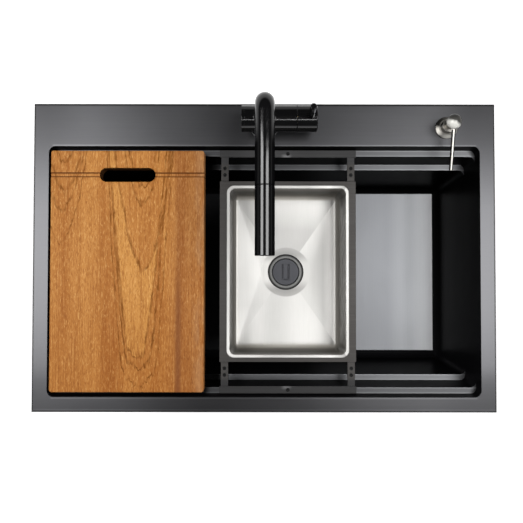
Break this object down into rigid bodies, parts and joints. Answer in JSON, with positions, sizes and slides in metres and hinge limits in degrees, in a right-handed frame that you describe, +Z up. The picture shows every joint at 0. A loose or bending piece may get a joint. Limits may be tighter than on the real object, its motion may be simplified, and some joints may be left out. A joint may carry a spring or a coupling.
{
  "type": "workstation kitchen sink",
  "caption": "Inset workstation kitchen sink with stepped ledges, pull-out swivel tap, soap pump, wooden chopping board and a lift-out basin on a sliding tray.",
  "frame": {"origin": "middle of the deck's underside, on the worktop's surface", "axes": "+X to the right as a person stands at the sink, +Y to the back where the tap stands, +Z up"},
  "size_m": [0.75, 0.5, 0.5205],
  "materials": {
    "black_steel": "satin black coated stainless steel, finely brushed",
    "tray_steel": "satin dark grey coated steel",
    "basin_steel": "brushed stainless steel",
    "tap_black": "gloss black coating",
    "nickel": "brushed nickel",
    "bare_steel": "plain stainless steel",
    "zinc": "zinc plated steel",
    "brass": "turned brass",
    "rubber": "matt black rubber",
    "pad_rubber": "grey sound-deadening pad",
    "white_plastic": "moulded white plastic",
    "ivory_plastic": "moulded ivory plastic",
    "black_plastic": "moulded black plastic",
    "bottle_plastic": "translucent natural plastic",
    "waste_ring": "satin grey coated metal",
    "plug_cap": "satin dark grey coated metal",
    "screw_black": "black coated steel",
    "teak": "oiled teak"
  },
  "bodies": {
    "sink": {"deck_plate": "black_steel", "bowl_shell": "black_steel", "sound_pads": "pad_rubber", "clip_studs": "zinc", "clip_hooks": "zinc", "clip_nuts": "zinc", "drain_body": "bare_steel", "drain_gasket": "rubber", "drain_locknut": "white_plastic", "tail_nut": "white_plastic", "tailpiece": "bare_steel", "tap_gasket": "rubber", "tap_flange": "tap_black", "tap_body": "tap_black", "tap_end_cap": "tap_black", "cartridge": "ivory_plastic", "cartridge_nut": "brass", "swivel_bush": "white_plastic", "swivel_collar": "tap_black", "inlet_nipples": "brass", "tap_shank": "brass", "shank_seal": "rubber", "shank_washer": "zinc", "shank_nut": "brass", "pump_collar": "bare_steel", "pump_flange": "nickel", "pump_nut": "white_plastic", "pump_cylinder": "white_plastic", "pump_spring": "bare_steel", "dip_tube": "white_plastic", "soap_bottle": "bottle_plastic"},
    "spout": {"spout_tube": "tap_black", "head_socket": "white_plastic", "o_rings": "rubber"},
    "spray": {"spray_head": "tap_black", "aerator": "bare_steel"},
    "handle": {"handle_drum": "tap_black", "lever_pin": "tap_black", "grub_screw": "bare_steel", "cartridge_stem": "brass"},
    "pump_turn_ring": {"pump_guide": "white_plastic"},
    "pump_top": {"pump_head": "nickel", "pump_spout": "nickel", "pump_stem": "white_plastic"},
    "tray": {"tray_ring": "tray_steel", "tray_arms": "tray_steel", "tray_end_bars": "tray_steel", "glide_strips": "black_plastic", "tray_screws": "screw_black"},
    "basin": {"basin_shell": "basin_steel", "basin_drain": "waste_ring", "basin_gasket": "rubber", "basin_nut": "black_plastic"},
    "plug": {"plug_cap": "plug_cap"},
    "pull": {"plug_pull": "plug_cap"},
    "board": {"cutting_board": "teak"},
    "basket": {"basket_cup": "bare_steel"},
    "stopper": {"basket_post": "bare_steel", "basket_seal": "rubber"}
  },
  "joints": [
    {"name": "spout_swivel", "type": "hinge", "parent": "sink", "child": "spout", "pos_m": [0, 0.215, 0.1], "axis": [0, 0, 1], "range_deg": [-90, 90]},
    {"name": "head_pull", "type": "slide", "parent": "spout", "child": "spray", "axis": [0, -1, 0], "range_m": [0, 0.25]},
    {"name": "handle_turn", "type": "hinge", "parent": "sink", "child": "handle", "pos_m": [0.06, 0.215, 0.048], "axis": [1, 0, 0], "range_deg": [0, 90]},
    {"name": "pump_turn", "type": "hinge", "parent": "sink", "child": "pump_turn_ring", "pos_m": [0.296, 0.211, 0.01], "axis": [0, 0, 1], "continuous": true},
    {"name": "pump_press", "type": "slide", "parent": "pump_turn_ring", "child": "pump_top", "axis": [0, 0, -1], "range_m": [0, 0.012], "stiffness_N_per_m": 800, "springref_m": -0.006, "deforming": ["pump_spring"]},
    {"name": "tray_slide", "type": "slide", "parent": "sink", "child": "tray", "axis": [1, 0, 0], "range_m": [-0.02, 0.185]},
    {"name": "basin_lift", "type": "slide", "parent": "tray", "child": "basin", "axis": [0, 0, 1], "range_m": [0, 0.1]},
    {"name": "plug_lift", "type": "slide", "parent": "basin", "child": "plug", "axis": [0, 0, 1], "range_m": [0, 0.03]},
    {"name": "pull_fold", "type": "hinge", "parent": "plug", "child": "pull", "pos_m": [0.039, -0.01, -0.1195], "axis": [-1, 0, 0], "range_deg": [0, 90]},
    {"name": "board_lift", "type": "slide", "parent": "sink", "child": "board", "axis": [0, 0, 1], "range_m": [0, 0.11]},
    {"name": "basket_lift", "type": "slide", "parent": "sink", "child": "basket", "axis": [0, 0, 1], "range_m": [0, 0.04]},
    {"name": "stopper_pull", "type": "slide", "parent": "basket", "child": "stopper", "axis": [0, 0, 1], "range_m": [0, 0.01]}
  ]
}
